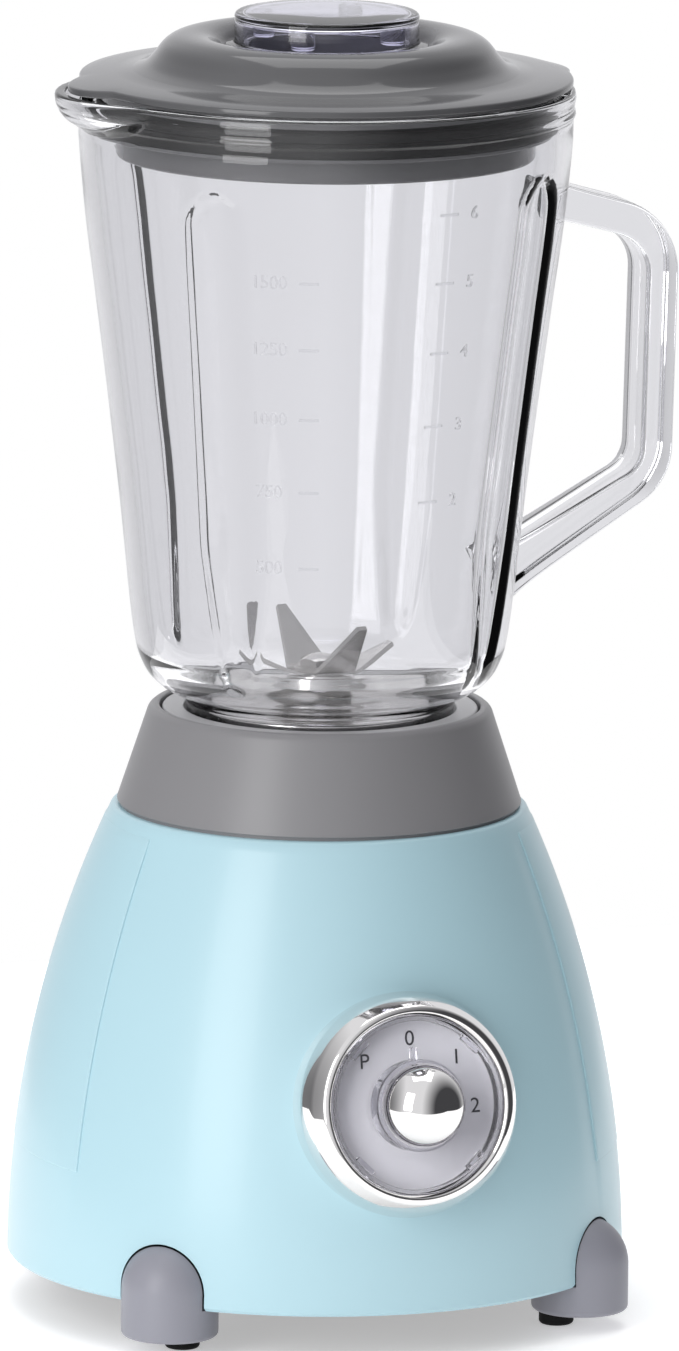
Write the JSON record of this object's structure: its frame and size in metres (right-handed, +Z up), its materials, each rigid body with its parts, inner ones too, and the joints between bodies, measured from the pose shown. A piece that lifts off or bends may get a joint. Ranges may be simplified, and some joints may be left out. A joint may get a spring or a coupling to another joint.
{
  "type": "countertop blender",
  "caption": "Countertop blender: flared motor base with a front dial, glass jug with spout, handle and steel blades, and a grey lid with a clear filler cap.",
  "frame": {"origin": "on the table under the drive axis, at the plane of the rubber feet", "axes": "+Z up along the drive axis, -Y to the dial, +X to the jug's handle"},
  "size_m": [0.2038, 0.2108, 0.3962],
  "materials": {
    "body_blue": "high gloss light blue ABS",
    "grey_plastic": "satin mid grey plastic",
    "nut_grey": "satin light grey plastic",
    "black_plastic": "moulded black plastic",
    "black_rubber": "matt black rubber",
    "jug_glass": "clear pressed glass",
    "clear_plastic": "clear styrene with a faint violet tint",
    "chrome_trim": "bright chrome plate",
    "dial_silver": "matt silver with black marks",
    "blade_steel": "polished stainless steel",
    "zinc_steel": "zinc plated steel",
    "lamination": "stacked electrical steel",
    "copper": "enamelled copper",
    "bracket_aluminium": "die cast aluminium",
    "bronze": "sintered bronze",
    "carbon": "carbon graphite"
  },
  "bodies": {
    "base": {"housing": "body_blue", "rear_cover": "body_blue", "base_plate": "black_plastic", "collar": "grey_plastic", "jug_seat": "nut_grey", "shaft_seal": "black_rubber", "foot_front_left": "grey_plastic", "foot_front_right": "grey_plastic", "foot_rear_right": "grey_plastic", "foot_rear_left": "grey_plastic", "foot_pad_front_left": "black_rubber", "foot_pad_front_right": "black_rubber", "foot_pad_rear_right": "black_rubber", "foot_pad_rear_left": "black_rubber", "foot_screws": "zinc_steel", "plate_screws": "zinc_steel", "cord_gland": "black_plastic", "terminal_block": "black_plastic", "dial_bezel": "chrome_trim", "dial_face": "dial_silver", "dial_lens": "clear_plastic", "switch_body": "black_plastic", "switch_screws": "zinc_steel", "motor_stator": "lamination", "motor_windings": "copper", "motor_bracket_bottom": "bracket_aluminium", "motor_bracket_top": "bracket_aluminium", "lower_bearing": "zinc_steel", "upper_bearing": "zinc_steel", "motor_bolts": "zinc_steel", "motor_spacers": "zinc_steel", "motor_mounts": "black_rubber", "motor_screws": "zinc_steel", "brush_holders": "black_plastic", "carbon_brushes": "carbon"},
    "knob": {"knob_ring": "clear_plastic", "knob_cap": "chrome_trim", "switch_spindle": "zinc_steel"},
    "motor_rotor": {"motor_shaft": "zinc_steel", "rotor_core": "lamination", "commutator": "copper", "cooling_fan": "black_plastic", "drive_coupling": "black_plastic"},
    "jug": {"glass_jug": "jug_glass", "jar_nut": "nut_grey", "blade_gasket": "black_rubber", "blade_base": "blade_steel", "shaft_bush": "bronze", "hub_seal": "black_rubber"},
    "blade_rotor": {"driven_coupling": "black_plastic", "blade_shaft": "blade_steel", "blade_washer": "blade_steel", "lower_blade": "blade_steel", "upper_blade": "blade_steel", "blade_nut": "blade_steel"},
    "lid": {"lid": "grey_plastic", "lid_gasket": "black_rubber"},
    "cap": {"filler_cap": "clear_plastic"}
  },
  "joints": [
    {"name": "jug_lift", "type": "slide", "parent": "base", "child": "jug", "axis": [0, 0, 1], "range_m": [0, 0.06]},
    {"name": "lid_lift", "type": "slide", "parent": "jug", "child": "lid", "axis": [0, 0, 1], "range_m": [0, 0.05]},
    {"name": "cap_lift", "type": "slide", "parent": "lid", "child": "cap", "axis": [0, 0, 1], "range_m": [0, 0.04]},
    {"name": "motor_spin", "type": "hinge", "parent": "base", "child": "motor_rotor", "pos_m": [0, 0, 0.09], "axis": [0, 0, 1], "continuous": true},
    {"name": "blade_spin", "type": "hinge", "parent": "jug", "child": "blade_rotor", "pos_m": [0, 0, 0.19], "axis": [0, 0, 1], "continuous": true},
    {"name": "knob_turn", "type": "hinge", "parent": "base", "child": "knob", "pos_m": [0, -0.08728, 0.078], "axis": [0, 0.9833, -0.1822], "range_deg": [-47, 94]}
  ],
  "couplings": [
    {"joint": "blade_spin", "follows": "motor_spin", "ratio": 1}
  ]
}
